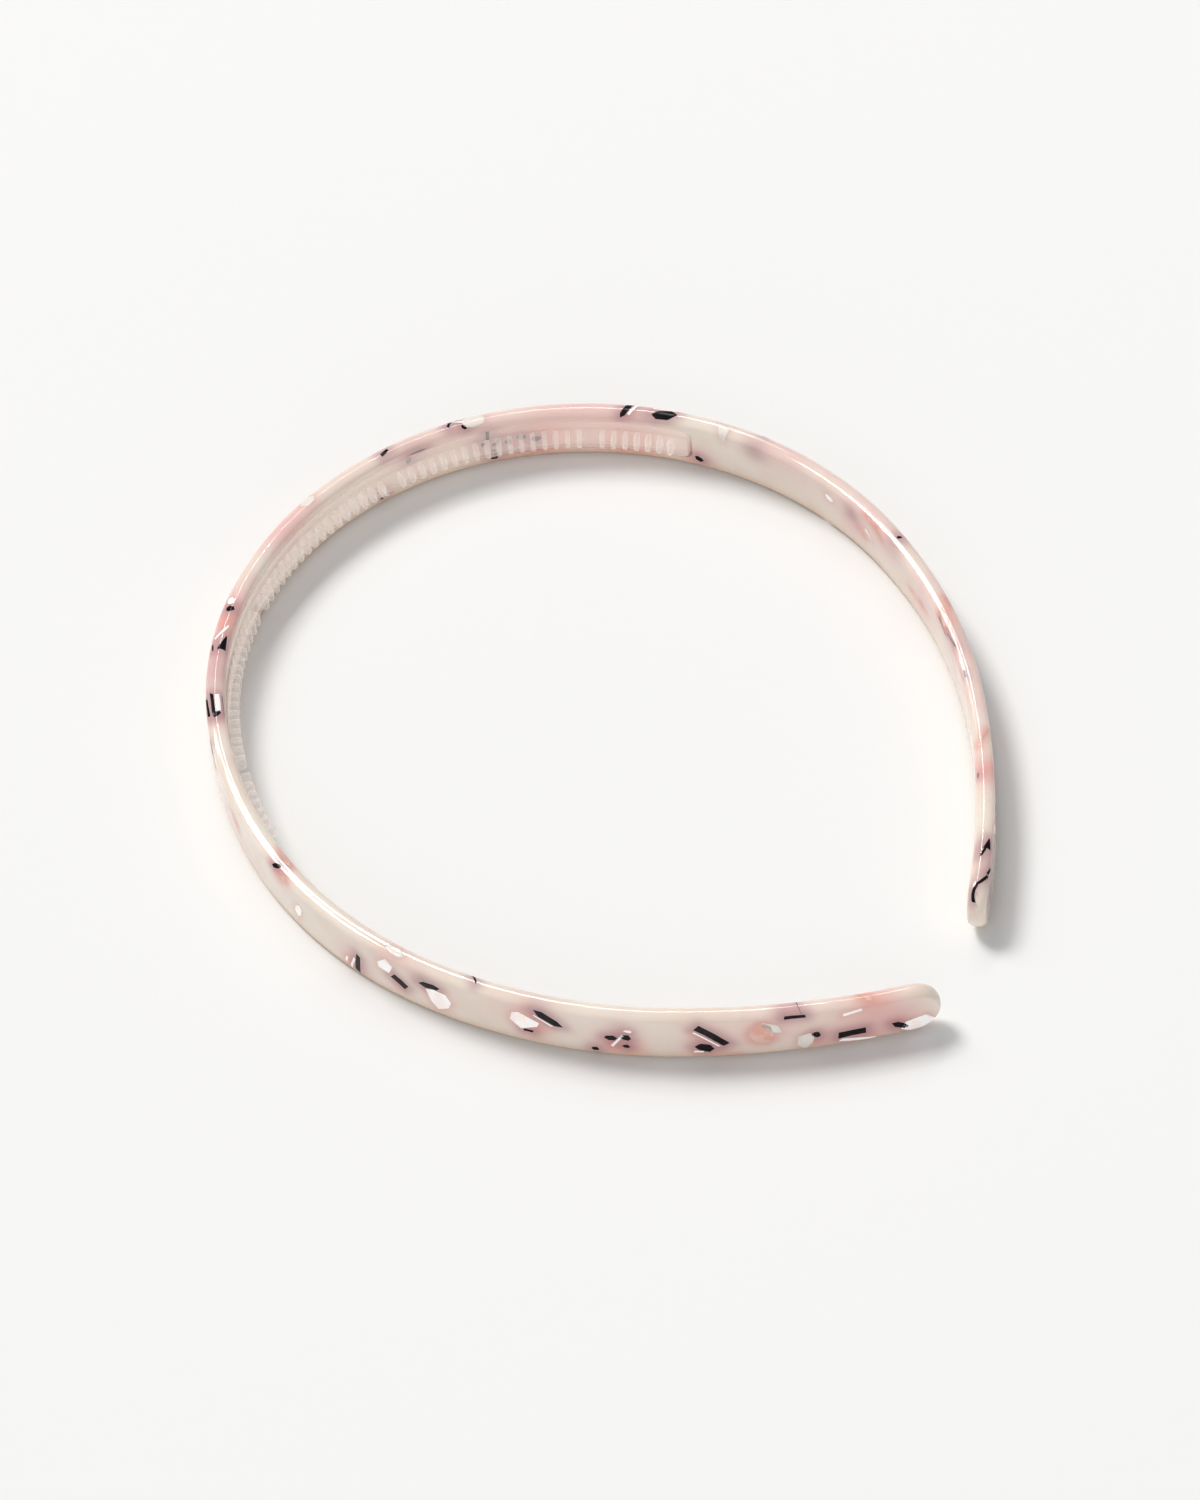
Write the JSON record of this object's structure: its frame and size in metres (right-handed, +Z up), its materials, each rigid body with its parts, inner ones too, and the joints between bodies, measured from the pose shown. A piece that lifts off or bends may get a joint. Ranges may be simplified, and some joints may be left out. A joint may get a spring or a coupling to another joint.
{
  "type": "headband",
  "caption": "Narrow rigid hair band of mosaic acetate, bent into an open hoop with rounded tips and a clear toothed comb strip set into its inner face.",
  "frame": {"origin": "on the surface the hoop lies on, under the middle of its outline", "axes": "+Z up through the width of the band, +Y towards the crown of the hoop, -Y towards the two tips, +X towards the side with the tighter bend"},
  "size_m": [0.1198, 0.1449, 0.01],
  "materials": {
    "mosaic_acetate": "polished milky ivory acetate with soft rose clouds and black, coral and clear chips",
    "clear_comb": "clear moulded plastic"
  },
  "bodies": {
    "root": {"band": "mosaic_acetate", "comb_strip": "clear_comb"}
  },
  "joints": []
}
